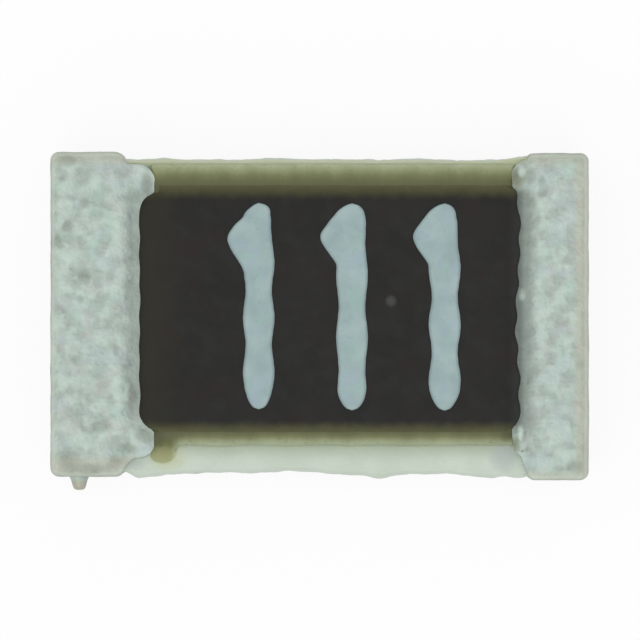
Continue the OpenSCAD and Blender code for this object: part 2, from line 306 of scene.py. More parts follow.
def aluminaFinish():
    s = alumina
    f = Finish("alumina")
    grain, cloud, hackle = (f.noise(*s[key]) for key in ("grain", "cloud", "hackle"))
    colour = f.mix(cloud.ramp(0.3, 0.75), s["milky"], s["pale"])
    onTop = f.z.ramp(*(zTop - deep for deep in s["topSkin"]))
    forward = (f.y * -1 + cloud * 0.02).ramp(*s["shadedTo"])
    colour = f.mix(onTop * (1 - forward), colour, s["shaded"])
    colour = f.mix(grain.ramp(0.62, 0.8) * 0.35, colour, s["speckled"])
    backRim = f.y.ramp(*s["backRim"]) * f.z.ramp(*(zTop - deep for deep in s["rimDeep"]))
    colour = f.mix(backRim * 0.75, colour, s["tinted"])
    # painted shade beside the caps' ears, and a tinted patch, on the top only
    colour = f.stainsAndPaintedLight(colour, s, onTop)
    snapped = f.z.ramp(*(bodyLow.z + up for up in s["snappedFrom"]))
    snapped = snapped * (1 - f.z.ramp(*(zTop - deep for deep in s["snappedTo"])))
    colour = f.mix(snapped * hackle.ramp(0.48, 0.70) * 0.5, colour, s["broken"])
    colour = f.mix(snapped * f.noise(*s["pits"]).ramp(0.63, 0.74) * 0.6, colour, s["pitted"])
    height = f.bump(hackle * snapped, s["hackleDeep"], f.bump(grain, s["grainDeep"]))
    height = f.bump(f.noise(*s["fine"]), s["fineDeep"], height)
    rough = s["rough"][0] + grain * s["rough"][1]
    return f.set(Base_Color=colour, Roughness=rough, Normal=height, Specular_IOR_Level=s["gloss"])


def aluminaBlock():
    s = alumina
    bm = boxGrid(bodyLow, bodyHigh, s["pitch"])
    middle = (bodyLow + bodyHigh) / 2
    half = (bodyHigh - bodyLow) / 2
    for v in bm.verts:
        p = v.co.copy()
        fromFace = min(p.z - bodyLow.z, bodyHigh.z - p.z)
        inset = s["scribeIn"] * (1 - clamp(fromFace / s["scribeHigh"]))
        for axis in (0, 1):  # scribe bevel along the top and bottom edges
            v.co[axis] = middle[axis] + (p[axis] - middle[axis]) * (half[axis] - inset) / half[axis]
        out = 1 if p.y > 0 else -1
        lift = s["sideOut"][out] + s["wander"] * ripple((p.x, 0, 0), s["wanderSize"], 3.1 + p.y)
        lift += sum(deep * bell((p.x - x) / wide) for x, deep, wide in s["swells"][out])
        rough = ripple((p.x, p.y, p.z * s["fractureLong"]), s["fractureSize"], 5.0)
        lift += s["fracture"] * rough * smoothStep(fromFace, 0.0, s["fractureFrom"])
        outside = smoothStep(min(p.x - capEdge[-1], capEdge[1] - p.x), -s["capSlip"], 0.0)
        v.co.y += out * outside * lift * smoothStep(abs(p.y), half.y * s["sideFrom"], half.y)
    finishPiece("alumina_block", bm, aluminaFinish(), "alumina_body", s["sharp"])


# glass coat: olive, printed towards the back edge, thin where it runs out
glass = {
    "cells": (150, 124),
    "run": 0.06,
    "lip": 0.004,
    "front": 0.49,
    "frontWander": (0.006, 0.12),  # height and size
    "backWander": (0.002, 0.08),
    "swell": (0.0006, 0.06),
    "tongueHalf": 0.425,
    "lobe": 0.09,
    "lobeSoft": 0.012,
    "lobeRound": 2.5,
    "lobeOut": 0.066,
    "streak": (14, 2.0, 0.5, (1.0, 0.35, 1.0)),
    "fine": (70, 2.0),
    "streakDeep": 0.003,
    "fineDeep": 0.0012,
    "rough": (0.3, 0.15),
    "gloss": 0.35,
    "uneven": 0.03,
    "backThin": (0.49, 9.6),  # where the glass starts to thin out, and how fast
    "frontThin": (0.425, 12.5),
    "lobeFrom": (0.525, 0.57),
    "lobeThick": 0.52,
    "paleFrom": (0.45, 0.49),
    "stops": ((0.0, (0.07, 0.076, 0.026)), (0.25, (0.098, 0.108, 0.036)), (0.45, (0.155, 0.168, 0.066)),
              (0.62, (0.255, 0.28, 0.14)), (0.8, (0.37, 0.41, 0.25)), (1.0, (0.52, 0.58, 0.43))),
    "dark": (0.075, 0.08, 0.03),
    "shadow": (0.052, 0.055, 0.020),
    "yellow": (0.31, 0.315, 0.125),
    "frontPale": (0.34, 0.40, 0.295),
    # the shadow rows are painted shadow beside the caps' front ears; the yellow row is a tone of the glass
    "stainsAndPaintedLight": ((-0.595, -0.545, 0.075, 0.075, 0.55, "yellow"), (-0.616, -0.452, 0.042, 0.056, 0.75, "shadow"),
               (0.712, -0.452, 0.035, 0.035, 0.75, "shadow")),
}


def glassFinish():
    s = glass
    f = Finish("olive glass")
    streak, fine = f.noise(*s["streak"]), f.noise(*s["fine"])
    uneven = (streak - 0.5) * s["uneven"]
    lobe = (f.x * -1).ramp(*s["lobeFrom"])
    back = (f.y + uneven - s["backThin"][0]) * s["backThin"][1]  # 0 at the overcoat to 1 where it runs out
    front = (uneven - f.y - s["frontThin"][0]) * s["frontThin"][1] * (1 - lobe * s["lobeThick"])
    thin = back.sum("MAXIMUM", back, front)
    colour = thin.node("ShaderNodeValToRGB", {"stops": s["stops"]}, {0: thin})
    colour = f.mix((f.y * -1).ramp(*s["paleFrom"]) * (1 - lobe) * 0.45, colour, s["frontPale"])
    # painted shadow beside the caps' ears, with a yellow patch of the glass
    colour = f.stainsAndPaintedLight(colour, s)
    colour = f.mix(fine.ramp(0.55, 0.8) * 0.3, colour, s["dark"])
    height = f.bump(fine, s["fineDeep"], f.bump(streak, s["streakDeep"]))
    rough = s["rough"][0] + fine * s["rough"][1]
    return f.set(Base_Color=colour, Roughness=rough, Normal=height, Specular_IOR_Level=s["gloss"])


def underGlass(x, y):  # top of what the glass was printed on
    s = glass
    onTongue = abs(y) < s["tongueHalf"] and not tongueEdge[-1] < x < tongueEdge[1]
    onFilm = filmLow.x < x < filmHigh.x and filmLow.y < y < filmHigh.y
    if onTongue and onFilm:
        return zFilm
    if onTongue:
        return zElectrode
    return zTop + (zFilm - zElectrode) if onFilm else zTop


def glassTop(x, y):
    s = glass
    ends = min(x - glassLow.x, glassHigh.x - x)
    sides = min(y + s["front"], glassHigh.y - y)
    overEnds = zElectrode + (zGlass - zElectrode) * quarterArc(ends / s["run"])
    overSides = zTop + s["lip"] + (zGlass - zTop - s["lip"]) * quarterArc(sides / s["run"])
    return min(overEnds, overSides)


def glassLayer():
    s = glass
    bm = sheetGrid(*s["cells"])
    for v in bm.verts:
        u, w, top = v.co
        x = blend(glassLow.x, glassHigh.x, u)
        off = clamp(abs(x - glassLow.x - s["lobe"] / 2) / (s["lobe"] / 2 + s["lobeSoft"]))
        bulge = s["lobeOut"] * math.sqrt(1 - off ** s["lobeRound"])
        high, size = s["frontWander"]
        front = -s["front"] - bulge - high * ripple((x, 0, 0), size, 12.0)
        high, size = s["backWander"]
        back = glassHigh.y + high * (ripple((x, 0, 0), size, 4.0) - 1)
        y = blend(front, back, w)
        high, size = s["swell"]
        z = glassTop(x, y) + high * ripple((x, y, 0), size, 2.0) if top > 0.5 else underGlass(x, y)
        v.co = (x, y, z)
    finishPiece("glass_layer", bm, glassFinish(), "glass_coat")


# overcoat: black resin with scalloped ends and a thin olive-brown rim
coat = {
    "cells": (168, 108),
    "run": 0.07,
    "lip": 0.0004,
    "sidesOut": 0.004,
    "soft": 0.0015,
    "corner": {-1: 0.075, 1: 0.05},  # left and right end
    "straight": {-1: (0.362, 0.395), 1: (0.380, 0.445)},  # front and back half of each end
    "inset": {-1: 0.0055, 1: 0.002},
    "scallop": {-1: 0.0035, 1: 0.009},
    "scallopPitch": 0.118,
    "rightOut": 0.0075,
    "rightHollows": ((-0.01, 0.015, 0.18), (0.452, 0.011, 0.035)),  # place, depth and half width along y
    "endWander": (0.003, 0.09),  # height and size
    "sideWander": (0.0035, 0.1),
    "sideIn": 0.002,
    "sideFrom": 0.4,  # share of the width, from the middle, where the wander starts
    "swell": (0.0005, 0.09),
    "speck": (0.2703, 0.0588, 0.027, 0.027),  # place, half width and half length of a grain of dust
    "speckHigh": 0.003,
    "cloud": (6, 3.0, 0.55),
    "fine": (90, 3.0, 0.6),
    "edge": (20, 2.0),
    "cloudDeep": 0.004,
    "fineDeep": 0.0012,
    "rough": (0.46, 0.18),
    "gloss": 0.18,
    "brownFrom": (0.52, 0.70),
    "wornFrom": (0.72, 0.775),
    "backRim": (0.445, 0.515),
    "frontRim": (0.40, 0.455),
    "black": (0.0105, 0.0105, 0.0098),
    "greyed": (0.0145, 0.013, 0.0125),
    "grey": (0.0155, 0.0165, 0.0150),
    "warm": (0.0165, 0.0115, 0.0095),
    "dusty": (0.16, 0.165, 0.155),
    "brown": (0.022, 0.020, 0.011),
    "worn": (0.042, 0.044, 0.040),
    "rim": (0.085, 0.087, 0.036),
    "grainy": (0.028, 0.028, 0.026),
    "clouds": ((13, 2.0, None, 0.42, 0.70, 0.8, "grey"), (9, 1.0, (1.3, 1.0, 1.0), 0.50, 0.75, 0.6, "warm")),
}


def coatFinish():
    s = coat
    f = Finish("black overcoat")
    cloud, fine = f.noise(*s["cloud"]), f.noise(*s["fine"])
    colour = f.clouds(f.mix(cloud.ramp(0.35, 0.7), s["black"], s["greyed"]), s)
    colour = f.mix(f.spot(*s["speck"]) * 0.3, colour, s["dusty"])
    colour = f.mix((f.x * -1 + cloud * 0.08).ramp(*s["brownFrom"]) * 0.7, colour, s["brown"])
    colour = f.mix((f.x + cloud * 0.02).ramp(*s["wornFrom"]) * 0.6, colour, s["worn"])
    edge = f.noise(*s["edge"]) * 0.02
    colour = f.mix((edge - f.y).ramp(*s["frontRim"]), colour, s["rim"])
    colour = f.mix((f.y + edge).ramp(*s["backRim"]), colour, s["rim"])
    colour = f.mix(fine.ramp(0.5, 0.85) * 0.3, colour, s["grainy"])
    height = f.bump(fine, s["fineDeep"], f.bump(cloud, s["cloudDeep"]))
    rough = s["rough"][0] + fine * s["rough"][1]
    return f.set(Base_Color=colour, Roughness=rough, Normal=height, Specular_IOR_Level=s["gloss"])


def coatEnd(y, side):  # where the overcoat ends at y, on the left (-1) or right (1)
    s = coat
    corner = s["corner"][side]
    past = clamp(abs(y) - s["straight"][side][0 if y < 0 else 1], 0, corner)
    scallop = s["scallop"][side] * (1 - math.cos(math.tau * y / s["scallopPitch"])) / 2
    reach = (coatHigh.x if side > 0 else -coatLow.x) - s["inset"][side]
    if side > 0:  # the right end is hollow in the middle and at its back corner
        reach += s["rightOut"] - sum(deep * bell((y - at) / wide) for at, deep, wide in s["rightHollows"])
    high, size = s["endWander"]
    wander = high * ripple((y, 0, 0), size, 20.0 + side)
    return side * (reach - scallop + wander - corner + math.sqrt(corner ** 2 - past ** 2))


def coatTop(x, y):
    s = coat
    ends = min(x - coatEnd(y, -1), coatEnd(y, 1) - x)
    sides = min(y - coatLow.y, coatHigh.y - y)
    overEnds = shelfZ + (zCoat - shelfZ) * quarterArc(ends / s["run"])
    overSides = zGlass + s["lip"] + (zCoat - zGlass - s["lip"]) * smoothStep(sides, -s["sidesOut"], s["run"])
    speckX, speckY, wide, long = s["speck"]
    dust = s["speckHigh"] * bell((x - speckX) / wide * math.sqrt(2), (y - speckY) / long * math.sqrt(2))
    return softMin(overEnds, overSides, s["soft"]) + dust


def overcoatLayer():
    s = coat
    bm = sheetGrid(*s["cells"])
    for v in bm.verts:
        u, w, top = v.co
        y = blend(coatLow.y, coatHigh.y, w)
        x = blend(coatEnd(y, -1), coatEnd(y, 1), u)
        inGlass = glassLow.x < x < glassHigh.x
        under = min(glassTop(x, y), zGlass) if inGlass else zElectrode
        high, size = s["sideWander"]
        out = math.copysign(smoothStep(abs(w - 0.5), s["sideFrom"], 0.5), w - 0.5)
        y += (high * ripple((x, 0, 0), size, 30.0) - s["sideIn"]) * out
        high, size = s["swell"]
        z = coatTop(x, y) + high * ripple((x, y, 0), size, 6.0) if top > 0.5 else under
        v.co = (x, y, z)
    finishPiece("black_overcoat", bm, coatFinish(), "overcoat")


# value marking: plain printed figures with the screen mesh's ripple along their edges
digit = {
    "cells": (20, 104),
    "places": (-0.2313, 0.1222, 0.4738),
    "foot": (-0.3525, -0.3565, -0.3575),
    "height": (0.784, 0.786, 0.787),
    "stem": (0.1195, 0.1200, 0.1215),
    "ripple": (0.010, 0.0093, 0.0115),
    "ripplePitch": (0.207, 0.239, 0.213),
    "rippleStart": (0.142, 0.036, 0.113),
    "tipLong": (0.075, 0.080, 0.105),
    "footLong": (0.092, 0.115, 0.085),
    "lean": (0.010, 0.005, 0.008),
    "flagTip": (0.1195, 0.1200, 0.1205),
    "flagDrop": (0.136, 0.128, 0.128),
    "flagUp": (0.88, 0.87, 0.85),
    "flagDown": (0.71, 0.81, 0.77),
    "flagRound": 0.023,
    "flagSoft": 0.004,
    "topRound": 0.033,
    "flagHollow": (0.007, 0.0, 0.0),
    "hollowDown": 0.058,
    "hollowHigh": 0.014,
    "leanFrom": (0.65, 0.73, 0.775),  # starts, is full and ends at these heights
    "inkT": 0.006,
    "sunk": 0.0015,  # the ink keys into the overcoat
    "edge": 0.018,
    "edgeT": 0.15,
    "tipIn": 0.004,
    "thinEdge": 0.013,
    "swell": (0.0004, 0.03),  # height and size
    "jitter": (0.0012, 0.022),
    "blot": (11, 2.0),
    "fine": (80, 3.0, 0.6),
    "fineDeep": 0.0012,
    "rough": (0.6, 0.15),
    "gloss": 0.3,
    "ink": (0.295, 0.39, 0.395),
    "thickInk": (0.365, 0.465, 0.465),
    "thinInk": (0.20, 0.27, 0.275),
    "edgeInk": (0.06, 0.078, 0.078),
    "blueInk": (0.32, 0.42, 0.47),
    "greenInk": (0.31, 0.46, 0.41),
    "clouds": ((17, 1.0, (1.0, 0.8, 1.0), 0.50, 0.68, 0.55, "blueInk"),
               (15, 1.0, (1.2, 1.0, 1.0), 0.52, 0.70, 0.55, "greenInk")),
}


def inkFinish():
    s = digit
    f = Finish("marking ink")
    blot, fine = f.noise(*s["blot"]), f.noise(*s["fine"])
    colour = f.clouds(f.mix(blot.ramp(0.3, 0.75), s["ink"], s["thickInk"]), s)
    colour = f.mix(fine.ramp(0.55, 0.85) * 0.45, colour, s["thinInk"])
    colour = f.mix(f.onPoints("thin") * 0.6, colour, s["edgeInk"])  # the print thins out along its edges
    rough = s["rough"][0] + fine * s["rough"][1]
    height = f.bump(fine, s["fineDeep"])
    return f.set(Base_Color=colour, Roughness=rough, Normal=height, Specular_IOR_Level=s["gloss"])


def stemEdge(h, which):
    s = digit
    r = s["stem"][which] / 2
    tip = s["tipLong" if h > s["height"][which] / 2 else "footLong"][which]
    past = clamp(tip - min(h, s["height"][which] - h), 0, tip)
    turn = math.tau * (h - s["rippleStart"][which]) / s["ripplePitch"][which]
    wave = s["ripple"][which] * (1 - math.cos(turn)) / 2
    return (r - wave) * math.sqrt(1 - (past / tip) ** 2)


def flagEdge(h, which):  # a wedge with a rounded tip, run into the stem below it
    s = digit
    above = h - (s["height"][which] - s["flagDrop"][which])
    slope = s["flagUp" if above > 0 else "flagDown"][which]
    flag = s["flagTip"][which] + s["flagRound"] - math.hypot(slope * above, s["flagRound"])
    if above > 0:
        down = s["height"][which] - h
        hollow = s["flagHollow"][which] * bell((down - s["hollowDown"]) / s["hollowHigh"])
        return (flag - hollow) * quarterArc(down / s["topRound"])
    return -softMin(-flag, -stemEdge(h, which), s["flagSoft"])


def valueDigits():
    s = digit
    bm = sheetGrid(*s["cells"])
    first = bm.verts[:] + bm.edges[:] + bm.faces[:]
    for which in range(1, len(s["places"])):
        copy = bmesh.ops.duplicate(bm, geom=first)["geom"]
        bmesh.ops.translate(bm, vec=(2 * which, 0, 0), verts=vertsOf(copy))
    thin = bm.verts.layers.float.new("thin")
    for v in bm.verts:
        which = int(v.co.x // 2)
        u, w, top = v.co.x - 2 * which, v.co.y, v.co.z
        tall = s["height"][which]
        h = w * tall
        starts, full, ends = s["leanFrom"]
        lean = s["lean"][which] * smoothStep(h, starts, full) * (1 - smoothStep(h, full, ends))
        left, right = -flagEdge(h, which), stemEdge(h, which) - lean
        x = blend(left, right, u)
        edge = min(x - left, right - x, h + s["tipIn"], tall - h + s["tipIn"])
        high, size = s["swell"]
        thick = s["inkT"] * quarterArc(s["edgeT"] + edge / s["edge"])
        z = zCoat - s["sunk"] if top < 0.5 else zCoat + thick + high * ripple((x, h, 0), size, 40 + which)
        high, size = s["jitter"]
        jitter = high * ripple((h, x * 0.3, 0), size, 50 + which)
        v[thin] = 1 - smoothStep(edge, -s["tipIn"], s["thinEdge"])
        v.co = (s["places"][which] + x + jitter, s["foot"][which] + h, z)
    bmesh.ops.remove_doubles(bm, verts=bm.verts, dist=1e-5)
    finishPiece("value_digits", bm, inkFinish(), "value_marking")


# tin caps: matt plating round each end, climbing down to a shelf against the overcoat
tin = {
    "pitch": (0.010, 0.010, 0.012),
    "round": 0.034,
    "shelfRound": 0.008,
    "step": (0.02, 0.004),  # the wrap thins to the shelf from this far before its edge to this far past it
    "ramp": {-1: (0.026, 0.034), 1: (0.060, 0.012)},  # left and right cap, before and past the edge
    "inner": {-1: (0.043, 0.042), 1: (0.030, 0.024)},  # front and back corner of each cap
    "trim": {-1: (0.004, 0.0035), 1: (-0.001, 0.0)},
    "fillet": {-1: (0.35, 0.3), 1: (0.6, 0.9)},  # shares of the shelf's length, on top
    "filletLow": 0.1,
    "filletUp": (0.5, 0.9),  # shares of the cap's height
    "filletFrom": -0.04,
    "shelfUp": (0.3, 0.7),
    "earUp": (0.8, 1.0),
    "endTrim": {-1: 0.002, 1: 0.003},
    "endTrimLong": 0.1,
    "earIn": {-1: 0.0, 1: 0.006},
    "earOut": {-1: 0.0, 1: 0.02},
    "earWander": (0.006, 0.05),  # height and size
    "earRound": 0.059,
    "padRound": 0.004,
    "lap": 0.004,  # the plating runs this far under the overcoat's edge
    "soleUp": 0.002,
    "beads": ((0.762, -0.440, 0.018, 0.034, 0.014, 0.8), (0.767, 0.548, 0.020, 0.026, 0.006, 0.7),
              (0.768, 0.082, 0.018, 0.030, 0.004, 0.4)),  # x, y, half width, half length, height and share
    "beadsFrom": 0.006,
    "swell": (0.0022, 0.11),
    "swellIn": 0.35,
    "crystal": (0.0011, 0.026),
    "trueFoot": (0.02, 0.03),  # below this height the ends stay true, this far in
    "sole": (0.003, 0.3),  # below this height only a share of the swells is left
    "openFrom": (0.02, 0.003, 0.004),
    "weld": 0.0004,
    "skin": 0.008,
    "wornTilt": 0.25,
    "patch": (15, 2.0),
    "grain": (34, 2.0),
    "fine": (90, 3.0, 0.6),
    "patchDeep": 0.010,
    "grainDeep": 0.005,
    "fineDeep": 0.002,
    "rough": (0.46, 0.2),
    "metal": 0.72,
    "topFrom": (0.44, 0.52),
    # rims below are darkened in the colour as painted shade
    "backRim": (0.56, 0.60),
    "leftRim": (0.515, 0.55),  # towards the front of the left cap, and fading again
    "leftRimFade": (0.57, 0.60),
    "frontRim": (0.575, 0.61),
    "endRim": (0.955, 0.985),
    "shelfFrom": (0.505, 0.512),
    "shelfTo": (0.520, 0.533),
    "stripFront": (-0.41, -0.34),  # the strip beside the overcoat, darkened as painted shade
    "stripMore": 0.055,  # it runs further forward on the right
    "stripBack": (0.46, 0.50),
    "stripOut": (0.93, 0.96),
    "footTo": (0.757, 0.782),
    "noduleFrom": (0.620, 0.636),
    "light": (0.43, 0.51, 0.456),
    "blue": (0.40, 0.465, 0.475),
    "mid": (0.32, 0.375, 0.336),
    "pink": (0.385, 0.37, 0.37),
    "mint": (0.335, 0.465, 0.40),
    "dark": (0.195, 0.212, 0.19),
    "rim": (0.41, 0.42, 0.345),
    "worn": (0.60, 0.66, 0.57),
    "blot": (0.15, 0.165, 0.125),
    "olive": (0.13, 0.14, 0.075),
    "shelf": (0.21, 0.248, 0.22),
    "foot": (0.085, 0.10, 0.09),
    "bright": (0.50, 0.60, 0.54),
    "beige": (0.45, 0.44, 0.36),
    "clouds": ((13, 1.0, (1.0, 1.0, 1.3), 0.52, 0.70, 0.40, "pink"),
               (12, 1.0, (1.2, 1.0, 1.0), 0.54, 0.72, 0.40, "mint"),
               (11, 1.0, (1.0, 1.2, 1.1), 0.50, 0.68, 0.45, "blue"),
               (10, 1.5, (1.25, 1.05, 1.2), 0.62, 0.78, 0.60, "dark")),
    # olive rows darken the right cap's ear tips, blot rows are darker pits and patches of the plating, and
    # the lighter rows are painted highlights
    "stainsAndPaintedLight": ((0.742, 0.525, 0.042, 0.055, 0.85, "olive"), (0.735, -0.490, 0.036, 0.050, 0.80, "olive"),
               (-0.662, -0.446, 0.052, 0.046, 0.60, "blot"), (-0.655, 0.500, 0.032, 0.048, 0.55, "blot"),
               (-0.750, 0.548, 0.040, 0.030, 0.35, "blot"), (-0.893, 0.148, 0.034, 0.038, 0.50, "blot"),
               (-0.893, 0.430, 0.030, 0.030, 0.40, "blot"), (-0.830, -0.418, 0.052, 0.030, 0.45, "blot"),
               (0.805, 0.430, 0.028, 0.032, 0.38, "blot"), (-0.960, 0.590, 0.050, 0.030, 0.40, "blot"),
               (-0.955, -0.545, 0.055, 0.045, 0.40, "blot"), (0.965, -0.570, 0.040, 0.035, 0.40, "blot"),
               (-0.730, -0.500, 0.055, 0.030, 0.30, "blot"), (-0.750, -0.394, 0.046, 0.036, 0.45, "bright"),
               (0.865, -0.490, 0.032, 0.032, 0.45, "bright"), (0.795, 0.535, 0.035, 0.042, 0.45, "blot"),
               (-0.885, -0.578, 0.130, 0.028, 0.40, "blot"), (-0.775, -0.548, 0.036, 0.036, 0.40, "blot"),
               (-0.925, 0.120, 0.030, 0.030, 0.30, "blot"), (-0.834, 0.245, 0.028, 0.028, 0.30, "blot"),
               (-0.742, 0.245, 0.030, 0.030, 0.40, "bright"), (0.985, -0.180, 0.026, 0.036, 0.30, "blot"),
               (0.926, -0.544, 0.036, 0.032, 0.45, "bright"), (-0.706, -0.300, 0.030, 0.045, 0.50, "blot"),
               (-0.925, -0.478, 0.036, 0.040, 0.40, "bright")),
}
nodule = {
    "x": -0.919,
    "z": 0.24,
    "root": 0.040,
    "facing": 0.7,
    "drift": 0.002,
    "steps": ((0.008, 0.88), (0.012, 0.86), (0.015, 0.87), (0.011, 0.85), (0.005, 0.72), (0.002, 0.55)),
}


def tinFinish():
    s = tin
    f = Finish("matt tin")
    patch, grain, fine = (f.noise(*s[key]) for key in ("patch", "grain", "fine"))
    colour = f.mix(patch.ramp(0.36, 0.62), s["mid"], s["light"])
    colour = f.mix(grain.ramp(0.45, 0.7) * 0.5, colour, s["light"])
    colour = f.clouds(colour, s)
    colour = f.mix(fine.ramp(0.6, 0.85) * 0.25, colour, s["dark"])
    forward = f.y * -1
    onTop = f.z.ramp(*s["topFrom"])
    onRight = f.x.ramp(-0.1, 0.1)
    # painted shade: the plating is darkened along its back, front and end rims and along the left cap's front
    # band, where the rounding turns from the light above
    leftRim = forward.ramp(*s["leftRim"]) * (1 - forward.ramp(*s["leftRimFade"]) * 0.5) * (1 - onRight)
    rimShade = f.y.ramp(*s["backRim"])
    for rim in (leftRim, forward.ramp(*s["frontRim"]), f.x.ramp(*s["endRim"])):
        rimShade = rimShade.sum("MAXIMUM", rimShade, rim)
    colour = f.mix(onTop * rimShade * 0.7, colour, s["rim"])
    # painted shade on the low shelf beside the overcoat, stronger on the right cap and darker still at the
    # right shelf's foot
    onShelf = f.z.ramp(*s["shelfFrom"]) * (1 - f.z.ramp(*s["shelfTo"]))
    beside = (f.y + onRight * s["stripMore"]).ramp(*s["stripFront"])
    beside = beside * (1 - f.y.ramp(*s["stripBack"])) * (1 - abs(f.x).ramp(*s["stripOut"]))
    colour = f.mix(onShelf * beside * (0.6 + 0.35 * onRight), colour, s["shelf"])
    atFoot = (1 - f.x.ramp(*s["footTo"])) * onRight
    colour = f.mix(atFoot * beside * onTop * 0.6, colour, s["foot"])
    colour = f.mix(f.onPoints("worn") * (0.35 + grain * 0.5), colour, s["worn"])  # rubbed edges painted lighter: wear, and painted light where the rounding turns from the lamp
    colour = f.stainsAndPaintedLight(colour, s, onTop)
    # the beads are painted lighter: painted highlights on them
    for x, y, wide, long, tall, share in s["beads"]:
        colour = f.mix(f.spot(x, y, wide, long) * (onTop * share), colour, s["bright"])
    colour = f.mix(forward.ramp(*s["noduleFrom"]), colour, s["beige"])
    height = f.bump(grain, s["grainDeep"], f.bump(patch, s["patchDeep"]))
    height = f.bump(fine, s["fineDeep"], height)
    rough = s["rough"][0] + grain * s["rough"][1]
    return f.set(Base_Color=colour, Metallic=s["metal"], Roughness=rough, Normal=height)


def tinCap(name, side, node, finish):
    s = tin
    low, high = boxMm(node)
    pad, electrode = padBox[side], electrodeBox[side]
    wide = boxMm("right_tin_plating")[1].y  # half width of a cap
    tall, middle = high.z, high.y - wide
    outer = high.x if side > 0 else -low.x
    wrap = outer - abs(capEdge[side])
    ear = outer - abs(glassLow.x if side < 0 else glassHigh.x) + platingT
    padEnd = outer - min(abs(pad[0].x), abs(pad[1].x)) + platingT
    reach = max(ear, padEnd)
    stepFrom, stepTo = wrap - s["step"][0], wrap + s["step"][1]
    rampFrom, rampTo = wrap - s["ramp"][side][0], wrap + s["ramp"][side][1]
    bm = boxGrid(Vector((0, -wide, 0)), Vector((reach, wide, tall)), s["pitch"])
    worn = bm.verts.layers.float.new("worn")
    for v in bm.verts:
        p = v.co.copy()
        r = blend(s["round"], s["shelfRound"], smoothStep(p.x, stepFrom, stepTo))
        q = Vector((max(p.x, r), clamp(p.y, r - wide, wide - r), clamp(p.z, r, tall - r)))
        if (p - q).length > 1e-6:  # rounded outer edges
            tilt = (p - q).normalized()
            p = q + tilt * r
            slant = 1 - max(abs(c) for c in tilt)
            # lighter rounded edges: partly rubbed wear, partly painted light on the rounding that turns from
            # the lamp
            v[worn] = smoothStep(slant, 0.0, s["wornTilt"]) * smoothStep(r, s["shelfRound"], s["round"])
        t, up = p.x, p.z / tall
        along = (t - wrap) / (reach - wrap)  # share of the shelf's length
        fillet = [blend(s["filletLow"], share, smoothStep(up, *s["filletUp"])) for share in s["fillet"][side]]
        narrow = [smoothStep(along, s["filletFrom"], share) for share in fillet]
        half = [wide - less - c + c * math.sqrt(1 - clamp((t - wrap) / c + 1) ** 2)
                for c, less in zip(s["inner"][side], s["trim"][side])]
        shelfFront = blend(pad[0].y, electrode[0].y, up) - platingT
        backOut = platingT + s["earOut"][side] * smoothStep(up, *s["earUp"])
        shelfBack = blend(pad[1].y, electrode[1].y, up) + backOut
        front = blend(middle - half[0], shelfFront, narrow[0])
        back = blend(middle + half[1], shelfBack, narrow[1])
        y = blend(front, back, (p.y / wide + 1) / 2)
        if t > wrap:  # shelves: up to the overcoat on top, to the pad's end below
            onTop = smoothStep(up, *s["shelfUp"])
            lift, size = s["earWander"]
            end = ear - s["earIn"][side] + lift * ripple((0, y, 0), size, 80 + side)
            if coatLow.y < y < coatHigh.y:
                end = softMin(outer - abs(coatEnd(y, side)) + s["lap"], end, s["lap"])
            end = blend(padEnd, end, onTop)
            t = wrap + (t - wrap) * (end - wrap) / (reach - wrap)
            corner = blend(s["padRound"], s["earRound"], onTop)
            a = (t - end) / corner + 1
            b = (abs(y - (front + back) / 2) - (back - front) / 2) / corner + 1
            if a > 0 and b > 0:  # square corner of the shelf to a round one
                keep = max(a, b) / math.hypot(a, b)
                t = end + corner * (a * keep - 1)
                across = 0.5 + corner * (b * keep - 1) / (back - front)
                y = blend(front, back, 0.5 + math.copysign(across, p.y))
        roof = blend(tall, shelfZ, smoothStep(t, rampFrom, rampTo))
        base = blend(0, platingT - s["soleUp"], smoothStep(t, stepFrom, stepTo))
        t += s["endTrim"][side] * (1 - smoothStep(t, 0.0, s["endTrimLong"]))
        v.co = (side * (outer - t), y, blend(base, roof, up))
    tinSurface(bm, side, outer)
    openInside(bm)
    if side < 0:
        tinNodule(bm)
    bmesh.ops.remove_doubles(bm, verts=bm.verts, dist=s["weld"])
    growInward(bm)
    finishPiece(name, bm, finish, node)


def tinSurface(bm, side, outer):  # swells and crystals of the plating, beads on the right cap
    s = tin
    swell, swellSize = s["swell"]
    crystal, crystalSize = s["crystal"]
    bmesh.ops.recalc_face_normals(bm, faces=bm.faces)
    bm.normal_update()
    for v in bm.verts:
        p = v.co
        lift = swell * (ripple(p, swellSize, 60 + side) - s["swellIn"])
        lift += crystal * ripple(p, crystalSize, 70 + side)
        if side > 0 and p.z > shelfZ - s["beadsFrom"]:
            for x, y, wide, long, tall, share in s["beads"]:
                lift += tall * bell((p.x - x) / wide, (p.y - y) / long)
        free = smoothStep(outer - abs(p.x), 0.0, s["trueFoot"][1]) if p.z < s["trueFoot"][0] else 1.0
        v.co = p + v.normal * lift * free * (s["sole"][1] if p.z < s["sole"][0] else 1.0)


def openInside(bm):  # what lies against the alumina is open
    inX, inY, inZ = tin["openFrom"]
    hidden = []
    for face in bm.faces:
        c = face.calc_center_median()
        between = bodyLow.z + inZ < c.z < zTop - inZ
        if between and abs(c.x) < bodyHigh.x - inX and abs(c.y) < bodyHigh.y - inY:
            hidden.append(face)
    bmesh.ops.delete(bm, geom=hidden, context="FACES")


